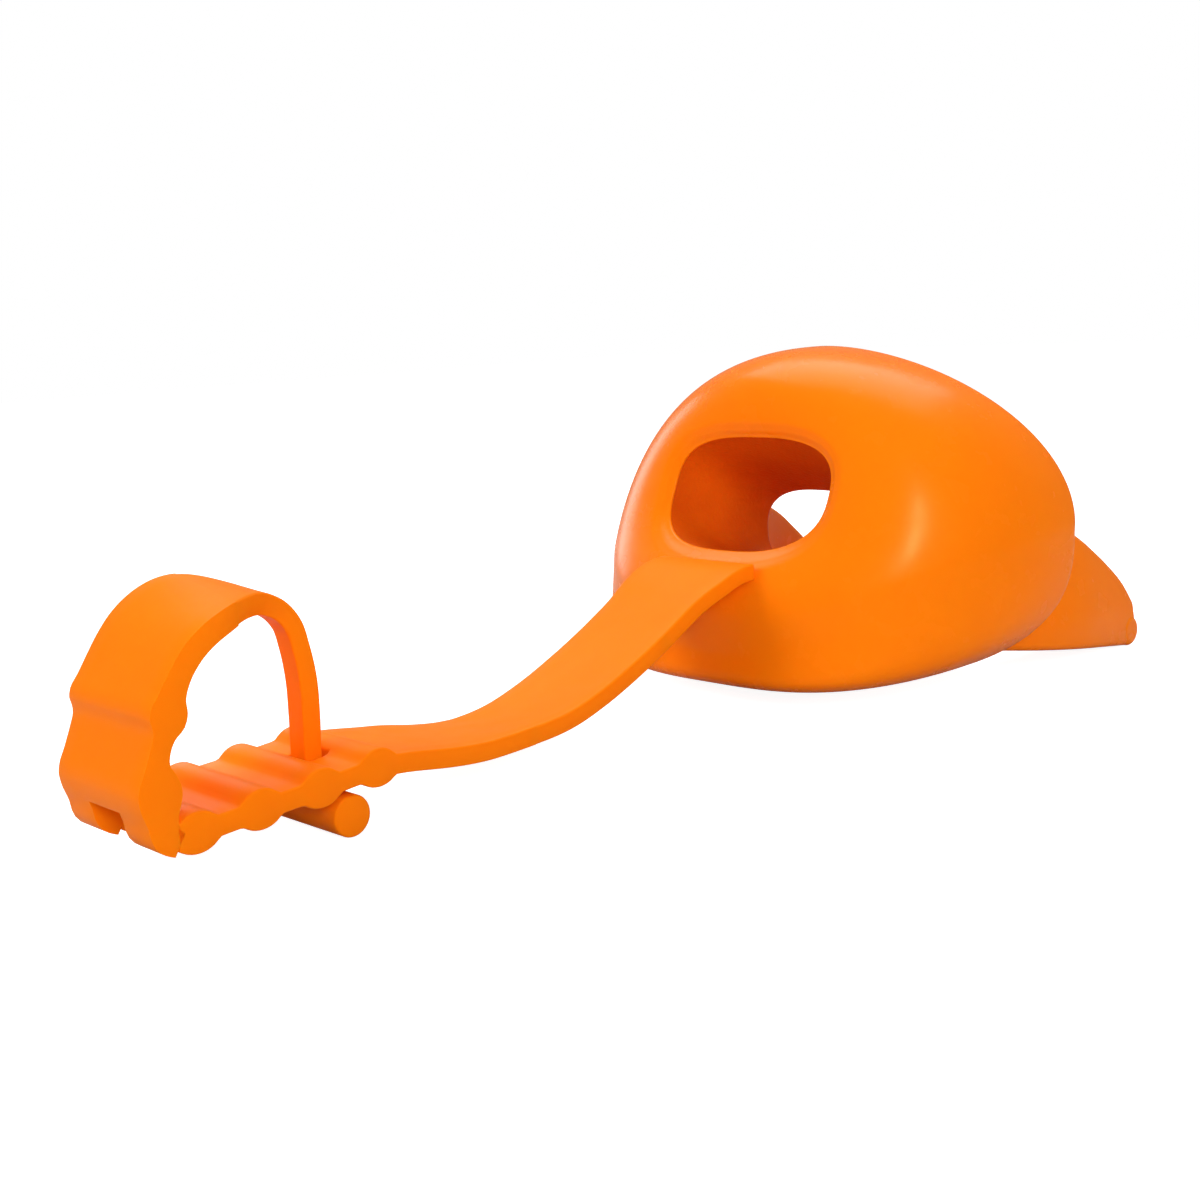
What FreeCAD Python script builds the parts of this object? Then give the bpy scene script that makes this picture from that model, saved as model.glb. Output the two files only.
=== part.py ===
import FreeCAD, Part
import math
import os

# Lip-shield mouthguard with a tether strap, all of it moulded elastomer. Millimetres.
# X is across, Y from front to back, +Z up, and z = 0 is the surface that it rests on.
# X = 0 is the plane of symmetry. The shapes are drawn with y = 0 near the shield's rim,
# and moved along Y at the end, so that the origin is the middle of the box's bottom.

V = FreeCAD.Vector
ACROSS = V(1, 0, 0)

# ---- lip shield: an oval dome ----
RIM_HALF_WIDTH = 37.7
RIM_TOP_Z = 49.6
RIM_BOTTOM_Z = 1.5
RIM_WIDEST_Z = 22.1
RIM_POWER_ABOVE = 1.86               # superellipse powers of the rim's outline
RIM_POWER_BELOW = 3.4
RIM_Y = (4.3, 5.8, 6.7)              # rim's y: constant, sine and double cosine terms
DOME_DEPTH = 27.0
DOME_POWER = 3.0
DOME_ROOT = 2.65
DOME_CENTRE_Z = 8.0
LEAN_BACK = (9.6, 33.3, 21.7, 16.0)  # humps: height, centre z, half width, half height
LOWER_LIP = (3.2, 17.0, 22.0, 6.5)
SHIELD_WALL = 2.2
PILOT_RADIUS = 5.0                   # the shell is made with this hole, opened up later
HALF_RING_POINTS = 33
SHIELD_RINGS = 15
RING_CROWDING = 2.6                  # above 1, the rings lie closer together near the rim

# ---- airway ----
OPENING_Z = 29.5
OPENING_HALF_WIDTH = 15.0
OPENING_HALF_HEIGHT = 7.8
OPENING_POWER = 3.6
DUCT_REAR_POWER = 2.7
DUCT_WALL = 1.8
DUCT_GAP = 0.1                       # clearance in the shield's opening
DUCT_FRONT_Y = -27.0
DUCT_BEND_Y = -15.0
DUCT_REAR_Y = 2.0
DUCT_REAR_Z = 20.4
DUCT_REAR_HALF_WIDTH = 10.5
DUCT_REAR_HALF_HEIGHT = 7.9
DUCT_OUTLINE_POINTS = 40
LIP_PATCH = (21.0, 13.0)             # half width and half height that the duct's front is cut on
LIP_PATCH_POINTS = (15, 12)

# ---- mouthpiece tray, drawn level and then tilted ----
TRAY_TILT = -7.9                     # degrees about X, rear end down
TRAY_HALF_WIDTH = 32.5
TRAY_FRONT_Y = -12.0
TRAY_BEND_Y = 28.0                   # where the half ellipse meets the straight arms
TRAY_REAR_Y = 38.6
PLATE_WIDTH = 13.0
PLATE_THICK = 3.5
PLATE_GROOVE = 0.2                   # fine groove along the wall's foot
WALL_THICK = 2.2
WALL_HEIGHT = 30.0                   # before its top is cut
WALL_TOP_LINE = ((45.0, 3.0), (37.7, 6.3), (33.7, 10.9), (29.5, 14.1), (20.0, 19.8),
                 (10.0, 23.5), (0.0, 25.8), (-16.0, 27.5))
BEAD_RADIUS = 2.4
BEAD_ROUND = 0.9

# ---- strap, its loop and its toggle ----
STRAP_WIDTH = 17.3
STRAP_THICK = 2.4
STRAP_LINE = ((-22.0, 19.4), (-28.0, 19.2), (-32.5, 17.6), (-37.0, 15.3), (-42.5, 12.4),
              (-48.5, 9.6), (-55.0, 7.0), (-61.0, 5.3), (-67.0, 4.7), (-73.0, 4.9),
              (-80.0, 5.8), (-90.0, 7.1))
ROOT_BEND = 2                        # places of the bends in STRAP_LINE
MID_BEND = 6
END_BEND = 10
JOINT_GAP = 0.25
FOLD = (-116.4, 5.4)
LADDER_RIDGES = (-114.0, -106.4, -98.7, -91.0)
RIDGE_HALF_LENGTH = 2.6
RIDGE_HALF_HEIGHT = 2.3
TAIL_SLOT = (-96.7, -92.9, 2.1)      # y from, y to, half width
FOLD_SLOT = (-122.0, -115.9, 3.3)
FOLD_SLOT_TOP = 8.3
PANEL_LINE = (FOLD, (-118.1, 7.8), (-117.8, 10.8), (-117.2, 14.8), (-116.2, 18.6), (-115.2, 21.6))
PANEL_RIBS = ((-117.8, 10.8, 2.4), (-116.2, 18.6, 2.1))
ARCH_LINE = ((-115.2, 21.6), (-112.7, 25.0), (-109.6, 27.1), (-106.0, 28.0), (-102.5, 27.6),
             (-99.2, 26.3), (-96.9, 24.6), (-95.8, 22.5))
ARCH_THICK = 2.6
TAIL_THICK = 2.3
TAIL_HALF_WIDTH = 1.6
TAPER_START_Y = -107.5
TAPER_END_Y = -100.5
TAIL_LINE = ((-95.8, 22.5), (-95.1, 18.3), (-94.8, 14.0), (-94.8, 9.0), (-94.8, 4.8))
TOGGLE_Y = -94.8
TOGGLE_RADIUS = 2.45
TOGGLE_HALF_LENGTH = 8.3
TOGGLE_FLAT_Z = 4.8

BAND_STEPS = 6                       # outline points between two points of a band's line
TAPER_POINTS = 9
FAR = 200.0                          # longer than anything here, for cutting blocks


# ---------------------------------------------------------------- small helpers

def signed_power(value, power):
    return math.copysign(abs(value) ** power, value)


def across_cylinder(y, z, radius, half_length=FAR):
    return Part.makeCylinder(radius, 2 * half_length, V(-half_length, y, z), ACROSS)


def slot_block(span, z0, z1):
    y0, y1, half_width = span
    return Part.makeBox(2 * half_width, y1 - y0, z1 - z0, V(-half_width, y0, z0))


def smooth_edge(points):
    curve = Part.BSplineCurve()
    curve.interpolate(points)
    return curve.toShape()


def band(line, thickness, half_width, first=0, last=None):
    """A strip of even thickness along a smooth line, between two of its points."""
    last = len(line) - 1 if last is None else last
    curve = Part.BSplineCurve()
    curve.interpolate([V(0, y, z) for y, z in line])
    start, end = (curve.parameter(V(0, *line[i])) for i in (first, last))
    steps = BAND_STEPS * (last - first)
    upper, lower = [], []
    for i in range(steps + 1):
        u = start + (end - start) * i / steps
        point, along = curve.value(u), curve.tangent(u)[0]
        side = V(0, -along.z, along.y) * (thickness / 2)
        upper.append(point + side)
        lower.append(point - side)
    outline = [smooth_edge(upper), Part.makeLine(upper[-1], lower[-1]),
               smooth_edge(lower[::-1]), Part.makeLine(lower[0], upper[0])]
    face = Part.Face(Part.Wire(outline))
    face.translate(V(-half_width, 0, 0))
    return face.extrude(V(2 * half_width, 0, 0))


def largest(shape):
    return max(shape.Solids, key=lambda s: s.Volume)


# ---------------------------------------------------------------- lip shield and airway

def rim_reach(start_z, angle, inset=0.0):
    """Distance from (0, start_z) to the rim, seen from the front, in a direction."""
    low, high = 0.0, 2 * RIM_HALF_WIDTH
    for _ in range(40):
        reach = (low + high) / 2
        x = abs(reach * math.cos(angle)) / (RIM_HALF_WIDTH - inset)
        z = start_z + reach * math.sin(angle) - RIM_WIDEST_Z
        height = (RIM_TOP_Z - RIM_WIDEST_Z if z > 0 else RIM_WIDEST_Z - RIM_BOTTOM_Z) - inset
        power = RIM_POWER_ABOVE if z > 0 else RIM_POWER_BELOW
        if x ** power + abs(z / height) ** power > 1:
            high = reach
        else:
            low = reach
    return reach


def rim_y(z, inset):
    height = (RIM_TOP_Z - RIM_WIDEST_Z if z > RIM_WIDEST_Z else RIM_WIDEST_Z - RIM_BOTTOM_Z) - inset
    power = RIM_POWER_ABOVE if z > RIM_WIDEST_Z else RIM_POWER_BELOW
    sine = signed_power(min(abs(z - RIM_WIDEST_Z) / height, 1), power / 2)
    sine = math.copysign(sine, z - RIM_WIDEST_Z)
    return RIM_Y[0] + RIM_Y[1] * sine + RIM_Y[2] * (1 - 2 * sine ** 2)


def hump(x, z, shape):
    """A soft bump on the dome: height, centre z, half width, half height."""
    height, centre_z, half_width, half_height = shape
    return height * math.exp(-(x / half_width) ** 2 - ((z - centre_z) / half_height) ** 2)


def dome_y(x, z, inset=0.0):
    """How far back a surface of the dome is, at a place seen from the front."""
    angle = math.atan2(z - DOME_CENTRE_Z, x)
    reach = rim_reach(DOME_CENTRE_Z, angle, inset)
    out = min(math.hypot(x, z - DOME_CENTRE_Z) / reach, 1.0)
    front = (DOME_DEPTH - inset) * (1 - out ** DOME_POWER) ** (1 / DOME_ROOT)
    relief = (hump(x, z, LEAN_BACK) - hump(x, z, LOWER_LIP)) * (1 - out ** 4)
    return rim_y(DOME_CENTRE_Z + reach * math.sin(angle), inset) * out ** 2 - front + relief


def half_grid(inset):
    """Half rings (x not negative) of one surface, from the pilot hole to the rim."""
    grid = []
    for i in range(SHIELD_RINGS):
        share = 1 - (1 - i / (SHIELD_RINGS - 1)) ** RING_CROWDING
        ring = []
        for j in range(HALF_RING_POINTS):
            angle = math.pi * (j / (HALF_RING_POINTS - 1) - 0.5)
            reach = PILOT_RADIUS + share * (rim_reach(OPENING_Z, angle, inset) - PILOT_RADIUS)
            x = max(reach * math.cos(angle), 0)
            z = OPENING_Z + reach * math.sin(angle)
            ring.append(V(x, dome_y(x, z, inset), z))
        grid.append(ring)
    return grid


def shield_shell():
    """The dome as one solid: outer and inner surface, joined round the hole and the rim."""
    surfaces = []
    for inset in (0, SHIELD_WALL):
        surface = Part.BSplineSurface()
        surface.interpolate(half_grid(inset))
        surfaces.append(surface)
    faces = [surface.toShape() for surface in surfaces]
    for u in surfaces[0].bounds()[:2]:
        faces.append(Part.makeRuledSurface(*[surface.uIso(u).toShape() for surface in surfaces]))
    faces += [face.mirror(V(0, 0, 0), ACROSS) for face in faces]
    shell = Part.makeShell([f for face in faces for f in face.Faces])
    shell.sewShape()
    solid = Part.makeSolid(shell)
    if solid.Volume < 0:
        solid.reverse()
    return solid


def rounded_wire(y, z, half_width, half_height, outline_power):
    """A closed rounded rectangle in a plane across Y."""
    power = 2 / outline_power
    points = []
    for i in range(DUCT_OUTLINE_POINTS):
        turn = 2 * math.pi * (i + 0.5) / DUCT_OUTLINE_POINTS
        points.append(V(half_width * signed_power(math.cos(turn), power), y,
                        z + half_height * signed_power(math.sin(turn), power)))
    curve = Part.BSplineCurve()
    curve.interpolate(points, PeriodicFlag=True)
    return Part.Wire(curve.toShape())


def duct_solid(grow, over=0.0):
    """The airway as a filled solid, grown sideways, and made longer at its rear."""
    slope = 1 / (DUCT_REAR_Y - DUCT_BEND_Y)
    wires = []
    for y in (DUCT_FRONT_Y, DUCT_BEND_Y, DUCT_REAR_Y + over):
        share = max(y - DUCT_BEND_Y, 0) * slope
        wires.append(rounded_wire(
            y, OPENING_Z + share * (DUCT_REAR_Z - OPENING_Z),
            OPENING_HALF_WIDTH + share * (DUCT_REAR_HALF_WIDTH - OPENING_HALF_WIDTH) + grow,
            OPENING_HALF_HEIGHT + share * (DUCT_REAR_HALF_HEIGHT - OPENING_HALF_HEIGHT) + grow,
            OPENING_POWER + share * (DUCT_REAR_POWER - OPENING_POWER)))
    return Part.makeLoft(wires, True, True)


def front_of_dome():
    """Everything in front of the shield's outer surface, round the airway."""
    half_width, half_height = LIP_PATCH
    columns, rows = LIP_PATCH_POINTS
    grid = []
    for i in range(rows):
        z = OPENING_Z + half_height * (2 * i / (rows - 1) - 1)
        across = [half_width * (2 * j / (columns - 1) - 1) for j in range(columns)]
        grid.append([V(x, dome_y(abs(x), z), z) for x in across])
    surface = Part.BSplineSurface()
    surface.interpolate(grid)
    return surface.toShape().extrude(V(0, -FAR / 4, 0))


def make_lip_shield():
    return largest(shield_shell().cut(duct_solid(DUCT_WALL + DUCT_GAP)))


def make_airway_duct():
    tube = duct_solid(DUCT_WALL).cut(duct_solid(0.0, 1.0))
    return largest(tube.cut(front_of_dome()))


# ---------------------------------------------------------------- mouthpiece

def tray_outline(inset, rear_y):
    """U-shaped face, level at z = 0: a half ellipse at the front and straight arms."""
    a = TRAY_HALF_WIDTH - inset
    b = TRAY_BEND_Y - TRAY_FRONT_Y - inset
    major, minor = (b, a) if b > a else (a, b)
    along = V(0, -1, 0) if b > a else V(1, 0, 0)
    centre = V(0, TRAY_BEND_Y, 0)
    ellipse = Part.Ellipse(centre + along * major, centre + along.cross(V(0, 0, 1)) * minor, centre)
    full = Part.Face(Part.Wire(ellipse.toShape()))
    front = full.common(Part.makeBox(FAR, FAR, FAR, V(-FAR / 2, TRAY_BEND_Y - FAR, -FAR / 2)))
    arms = Part.makePlane(2 * a, rear_y - TRAY_BEND_Y, V(-a, TRAY_BEND_Y, 0))
    return front, arms


def tray_block(inset, height, rear_y):
    solids = [face.extrude(V(0, 0, height)) for face in tray_outline(inset, rear_y)]
    return solids[0].fuse(solids[1]).removeSplitter()


def tilted(shape):
    """Tips the level tray so that the beads at its rear stand on z = 0."""
    shape.rotate(V(0, TRAY_REAR_Y, BEAD_RADIUS), ACROSS, TRAY_TILT)
    return shape


def make_bite_plate():
    outer = tray_block(WALL_THICK, PLATE_THICK - PLATE_GROOVE, TRAY_REAR_Y).fuse(
        tray_block(WALL_THICK + PLATE_GROOVE, PLATE_THICK, TRAY_REAR_Y))
    inner = tray_block(PLATE_WIDTH, PLATE_THICK, TRAY_REAR_Y + 1)
    beads = [make_end_bead(side) for side in (-1, 1)]
    plate = tilted(outer.cut(inner))
    return largest(plate.cut(beads[0]).cut(beads[1]).cut(duct_solid(DUCT_WALL)))


def make_mouthpiece_wall():
    wall = tray_block(0.0, WALL_HEIGHT, TRAY_REAR_Y).cut(
        tray_block(WALL_THICK, WALL_HEIGHT, TRAY_REAR_Y + 1))
    wall = tilted(wall)
    top = [V(0, y, z) for y, z in WALL_TOP_LINE]
    above = Part.Face(Part.Wire([smooth_edge(top), Part.makeLine(top[-1], top[-1] + V(0, 0, FAR)),
                                 Part.makeLine(top[-1] + V(0, 0, FAR), top[0] + V(0, 0, FAR)),
                                 Part.makeLine(top[0] + V(0, 0, FAR), top[0])]))
    above.translate(V(-FAR / 2, 0, 0))
    wall = wall.cut(above.extrude(V(FAR, 0, 0)))
    beads = [make_end_bead(side) for side in (-1, 1)]
    return largest(wall.cut(beads[0]).cut(beads[1]).cut(duct_solid(DUCT_WALL)))


def make_end_bead(side):
    """A roll with rounded ends, across the end of one arm."""
    first_x = min(side * TRAY_HALF_WIDTH, side * (TRAY_HALF_WIDTH - PLATE_WIDTH))
    bead = Part.makeCylinder(BEAD_RADIUS, PLATE_WIDTH, V(first_x, TRAY_REAR_Y, BEAD_RADIUS), ACROSS)
    ends = [edge for edge in bead.Edges if isinstance(edge.Curve, Part.Circle)]
    return bead.makeFillet(BEAD_ROUND, ends)


# ---------------------------------------------------------------- strap

def knuckle(point, thickness, half_width):
    return across_cylinder(*point, thickness / 2, half_width)


def socket(point, thickness):
    return across_cylinder(*point, thickness / 2 + JOINT_GAP)


def strap_piece(first, last):
    """The strap from one bend to the next: a socket behind it and a knuckle at its end."""
    half = STRAP_WIDTH / 2
    piece = band(STRAP_LINE, STRAP_THICK, half, first, last)
    if first > 0:
        piece = piece.cut(socket(STRAP_LINE[first], STRAP_THICK))
    return piece.fuse(knuckle(STRAP_LINE[last], STRAP_THICK, half)).removeSplitter()


def make_strap_root(shield):
    return largest(strap_piece(0, ROOT_BEND).cut(shield).cut(duct_solid(DUCT_WALL)))


def ladder_z(y):
    """Middle plane of the ladder's web."""
    y_end, z_end = STRAP_LINE[-1]
    return z_end + (FOLD[1] - z_end) * (y - y_end) / (FOLD[0] - y_end)


def ridge(y, z, half_length, half_height, half_width, lean=0.0):
    """A rib across the strap, elliptical from the side, with its long axis along Y."""
    profile = Part.Ellipse(V(0, half_length, 0), V(0, 0, half_height), V(0, 0, 0))
    face = Part.Face(Part.Wire(profile.toShape()))
    solid = face.extrude(V(2 * half_width, 0, 0))
    solid.rotate(V(0, 0, 0), ACROSS, lean)
    solid.translate(V(-half_width, y, z))
    return solid


def make_ladder():
    half = STRAP_WIDTH / 2
    web = band((STRAP_LINE[-1], FOLD), STRAP_THICK, half)
    solid = band(STRAP_LINE, STRAP_THICK, half, END_BEND).fuse(web)
    solid = solid.fuse(knuckle(FOLD, STRAP_THICK, half))
    slope = math.degrees(math.atan2(ladder_z(-90) - ladder_z(-100), 10))
    for y in LADDER_RIDGES:
        solid = solid.fuse(ridge(y, ladder_z(y), RIDGE_HALF_LENGTH, RIDGE_HALF_HEIGHT, half, slope))
    solid = solid.cut(socket(STRAP_LINE[END_BEND], STRAP_THICK))
    solid = solid.cut(slot_block(TAIL_SLOT, 0, FAR / 10)).cut(slot_block(FOLD_SLOT, 0, FOLD_SLOT_TOP))
    return largest(solid)


def make_fold_panel():
    half = STRAP_WIDTH / 2
    solid = band(PANEL_LINE, STRAP_THICK, half)
    for y, z, half_height in PANEL_RIBS:
        solid = solid.fuse(ridge(y, z, RIDGE_HALF_LENGTH, half_height, half, 90))
    solid = solid.fuse(knuckle(PANEL_LINE[-1], ARCH_THICK, half))
    solid = solid.cut(socket(FOLD, STRAP_THICK)).cut(slot_block(FOLD_SLOT, 0, FOLD_SLOT_TOP))
    return largest(solid)


def taper_block():
    """Plan of the arch: the strap's width, then a smooth narrowing to the tail's width."""
    half = STRAP_WIDTH / 2
    side = []
    for i in range(TAPER_POINTS):
        share = i / (TAPER_POINTS - 1)
        ease = share * share * (3 - 2 * share)
        y = TAPER_START_Y + share * (TAPER_END_Y - TAPER_START_Y)
        side.append(V(half + ease * (TAIL_HALF_WIDTH - half), y, 0))
    edges = []
    for sign in (1, -1):
        points = [V(sign * p.x, p.y, 0) for p in side]
        start = V(sign * half, TAPER_START_Y - 20, 0)
        end = V(sign * TAIL_HALF_WIDTH, TAPER_END_Y + 20, 0)
        edges += [Part.makeLine(start, points[0]), smooth_edge(points), Part.makeLine(points[-1], end)]
    edges.append(Part.makeLine(V(-half, TAPER_START_Y - 20, 0), V(half, TAPER_START_Y - 20, 0)))
    edges.append(Part.makeLine(V(-TAIL_HALF_WIDTH, TAPER_END_Y + 20, 0),
                               V(TAIL_HALF_WIDTH, TAPER_END_Y + 20, 0)))
    return Part.Face(Part.Wire(Part.__sortEdges__(edges))).extrude(V(0, 0, FAR))


def make_loop_arch():
    solid = band(ARCH_LINE, ARCH_THICK, STRAP_WIDTH / 2).common(taper_block())
    solid = solid.fuse(knuckle(ARCH_LINE[-1], ARCH_THICK, TAIL_HALF_WIDTH))
    return largest(solid.cut(socket(ARCH_LINE[0], ARCH_THICK)))


def make_tail_cord():
    solid = band(TAIL_LINE, TAIL_THICK, TAIL_HALF_WIDTH)
    return largest(solid.cut(socket(TAIL_LINE[0], ARCH_THICK)))


def make_toggle_bar():
    bar = across_cylinder(TOGGLE_Y, TOGGLE_RADIUS, TOGGLE_RADIUS, TOGGLE_HALF_LENGTH)
    flat = slot_block((TOGGLE_Y - TOGGLE_RADIUS, TOGGLE_Y + TOGGLE_RADIUS, FAR), TOGGLE_FLAT_Z, FAR / 10)
    return largest(bar.cut(flat))


# ---------------------------------------------------------------- assembly

def build():
    shield = make_lip_shield()
    nodes = {
        "lip_shield": shield,
        "airway_duct": make_airway_duct(),
        "mouthpiece_wall": make_mouthpiece_wall(),
        "bite_plate": make_bite_plate(),
        "end_bead_left": make_end_bead(-1),
        "end_bead_right": make_end_bead(1),
        "strap_root": make_strap_root(shield),
        "strap_upper": strap_piece(ROOT_BEND, MID_BEND),
        "strap_lower": strap_piece(MID_BEND, END_BEND),
        "ladder": make_ladder(),
        "fold_panel": make_fold_panel(),
        "loop_arch": make_loop_arch(),
        "tail_cord": make_tail_cord(),
        "toggle_bar": make_toggle_bar(),
    }
    box = Part.makeCompound(list(nodes.values())).optimalBoundingBox(False, False)
    shift = -(box.YMin + box.YMax) / 2
    print("moved along Y by %.3f; box %.2f x %.2f x %.2f, lowest z %.3f"
          % (shift, box.XLength, box.YLength, box.ZLength, box.ZMin))
    for solid in nodes.values():
        solid.translate(V(0, shift, 0))
    return nodes


os.makedirs("parts", exist_ok=True)
for name, solid in build().items():
    print("%-16s %9.1f mm3  valid %s" % (name, solid.Volume, solid.isValid()))
    solid.exportStep("parts/%s.step" % name)
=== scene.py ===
import math

import bmesh
import bpy
from mathutils import Matrix, Vector


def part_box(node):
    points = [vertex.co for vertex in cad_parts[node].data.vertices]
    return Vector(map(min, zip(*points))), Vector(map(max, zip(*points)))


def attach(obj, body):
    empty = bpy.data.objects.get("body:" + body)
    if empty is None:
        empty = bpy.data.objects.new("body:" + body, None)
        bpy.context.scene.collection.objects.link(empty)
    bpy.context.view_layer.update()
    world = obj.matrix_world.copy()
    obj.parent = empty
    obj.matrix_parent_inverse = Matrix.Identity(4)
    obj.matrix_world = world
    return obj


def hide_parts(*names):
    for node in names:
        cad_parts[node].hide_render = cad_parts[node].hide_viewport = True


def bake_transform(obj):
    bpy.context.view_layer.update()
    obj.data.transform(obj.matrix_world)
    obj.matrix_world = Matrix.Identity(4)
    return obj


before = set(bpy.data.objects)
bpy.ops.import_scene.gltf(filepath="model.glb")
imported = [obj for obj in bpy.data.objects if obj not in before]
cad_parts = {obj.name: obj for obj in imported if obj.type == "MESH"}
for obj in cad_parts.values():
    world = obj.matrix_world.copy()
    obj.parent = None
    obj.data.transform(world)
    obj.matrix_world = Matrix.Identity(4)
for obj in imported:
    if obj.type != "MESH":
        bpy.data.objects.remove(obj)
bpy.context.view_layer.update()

MM = 0.001

# The shapes are drawn in millimetres, with y = 0 near the shield's rim, as the CAD part is.
# The frame's own y comes from the rear of the mouthpiece's end beads.
BEAD_RADIUS = 2.4
BEAD_ROUND = 0.9
BEAD_INNER_OVERHANG = 0.15               # how far each end roll stands out past its arm
BEAD_OUTER_OVERHANG = 0.1
TRAY_REAR_Y = 38.6
SHIFT_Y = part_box("end_bead_left")[1].y / MM - (TRAY_REAR_Y + BEAD_RADIUS)

# ---- lip shield ----
RIM_HALF_WIDTH = 37.7
RIM_TOP_Z = 49.6
RIM_BOTTOM_Z = 1.5
RIM_WIDEST_Z = 22.1
RIM_POWER_ABOVE = 1.86
RIM_POWER_BELOW = 3.4
RIM_Y = (4.3, 5.8, 6.7)
DOME_DEPTH = 27.0
DOME_POWER = 3.0
DOME_ROOT = 2.65
DOME_CENTRE_Z = 8.0
LEAN_BACK = (9.6, 33.3, 21.7, 16.0)      # humps: height, centre z, half width, half height
LOWER_LIP = (3.2, 17.0, 22.0, 6.5)
SHIELD_WALL = 2.2

# ---- airway ----
OPENING_Z = 29.3
OPENING_HALF_WIDTH = 14.6
OPENING_HALF_HEIGHT = 7.8
OPENING_POWER = 2.85
BEVEL_WIDTH = 1.5
BEVEL_DEPTH = 1.1
LINER_DEPTH = 0.45                       # how far behind the bevel the duct starts
LIP_ROUND = 0.9
DUCT_WALL = 1.8
DUCT_BEND_Y = -15.0                      # where the tray wall's cut under the duct starts to slope
DUCT_REAR_Y = 2.0
DUCT_REAR_Z = 21.0
DUCT_REAR_HALF_WIDTH = 10.3
DUCT_REAR_HALF_HEIGHT = 6.3
DUCT_REAR_POWER = 2.6
AROUND = 256                             # points in each ring of the shield

# ---- mouthpiece tray ----
TRAY_TILT = math.radians(-7.9)
TRAY_HALF_WIDTH = 32.5
TRAY_FRONT_Y = -12.0
TRAY_BEND_Y = 28.0
PLATE_WIDTH = 13.0
ARM_OVERLAP = 0.9                        # how far the arms run into their end rolls
PLATE_THICK = 3.5
WALL_THICK = 2.2
WALL_LEAN = 0.2                          # how far in the wall leans for each mm of its height
WALL_TOP_LINE = ((-16.0, 27.5), (0.0, 26.6), (10.0, 25.0), (20.0, 22.2), (27.3, 18.9),
                 (30.9, 16.5), (35.3, 13.2), (38.5, 10.2), (39.8, 8.1), (42.0, 4.4))

# ---- strap, loop and toggle ----
STRAP_HALF_WIDTH = 8.65
STRAP_HALF_THICK = 1.2
STRAP_LINE = ((-22.0, 19.4), (-28.0, 19.2), (-32.5, 17.6), (-37.0, 15.3), (-42.5, 12.4),
              (-48.5, 9.6), (-55.0, 7.0), (-61.0, 5.3), (-67.0, 4.7), (-73.0, 4.9),
              (-80.0, 5.8), (-90.0, 7.1), (-98.7, 6.66), (-107.5, 6.2), (-116.4, 5.6))
STRAP_STEP = 0.45                        # distance between stations along the strap
COLUMN_STEP = 2.2                        # distance between columns across it
STRAP_CUTS = (-24.6, -43.5, -67.5, -130.0)   # where the strap's pieces start and end
RIDGE_HALF_LENGTH = 2.75
RIDGE_HALF_HEIGHT = 2.35
RIDGE_UNDERSIDE = 0.85                   # how much of a ridge's height shows below the strap
SOFT_EDGE = 0.5
LADDER_RIDGES = (-114.0, -106.4, -98.7, -91.0)
TAIL_SLOT = (-96.7, -92.9, 2.1)
FOLD_SLOT = (-122.0, -115.9, 3.3)
FOLD_SLOT_TOP = 8.3
LOOP_PLACES = ((-115.2, 21.6), (-105.5, 28.0), (-95.8, 22.5))    # crown, top and rear bend
# y, z and half thickness along the middle of the loop, ribs included
PANEL_LINE = ((-116.2, 5.1, 1.3), (-117.5, 6.2, 1.6), (-117.8, 7.8, 1.7), (-117.85, 9.3, 2.2),
              (-117.8, 10.8, 2.45), (-117.8, 12.2, 2.1), (-117.75, 13.6, 1.4), (-117.3, 15.2, 1.15),
              (-116.7, 16.6, 1.3), (-116.2, 17.8, 2.0), (-115.9, 19.0, 2.1), (-115.4, 20.4, 1.6),
              (-114.5, 22.1, 1.35), (-113.2, 23.9, 1.3), (-111.6, 25.5, 1.3), (-109.0, 27.05, 1.3),
              (-106.0, 27.8, 1.3), (-102.5, 27.5, 1.3), (-99.4, 26.6, 1.25), (-97.3, 25.4, 1.2),
              (-95.9, 23.6, 1.15), (-95.15, 20.9, 1.15), (-94.6, 17.0, 1.2), (-94.6, 13.0, 1.2),
              (-94.8, 8.6, 1.15), (-94.8, 4.6, 1.15))
TAIL_HALF_WIDTH = 1.6
TAPER_START_Y = -112.0
TAPER_END_Y = -96.5
ARCH_TWIST = (-1.5, -105.0, 5.2)         # how much the arch's far edge is pulled up, and where
ARCH_RAISE = 0.25
TOGGLE_Y = -94.8
TOGGLE_RADIUS = 2.45
TOGGLE_HALF_LENGTH = 8.3
TOGGLE_FLAT_Z = 4.8


# ---------------------------------------------------------------- helpers

def place(x, y, z):
    """A drawn point in millimetres, in the frame's metres."""
    return Vector((x, y + SHIFT_Y, z)) * MM


def signed_power(value, power):
    return math.copysign(abs(value) ** power, value)


def ease(share):
    share = min(max(share, 0.0), 1.0)
    return share * share * (3 - 2 * share)


def soft_max(a, b, blend):
    """The larger of two lengths, with a rounded change from one to the other."""
    h = max(blend - abs(a - b), 0.0) / blend
    return max(a, b) + h * h * blend / 4


def lerp(a, b, share):
    return a + (b - a) * share


def new_piece(name, bm, material, sharp=35):
    """Turns a bmesh into a smooth-shaded object, creased where faces meet sharply."""
    bmesh.ops.recalc_face_normals(bm, faces=bm.faces)
    for face in bm.faces:
        face.smooth = True
    for edge in bm.edges:
        if len(edge.link_faces) == 2 and edge.calc_face_angle(0) > math.radians(sharp):
            edge.smooth = False
    mesh = bpy.data.meshes.new(name)
    bm.to_mesh(mesh)
    bm.free()
    piece = bpy.data.objects.new(name, mesh)
    bpy.context.scene.collection.objects.link(piece)
    mesh.materials.append(material)
    return piece


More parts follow.
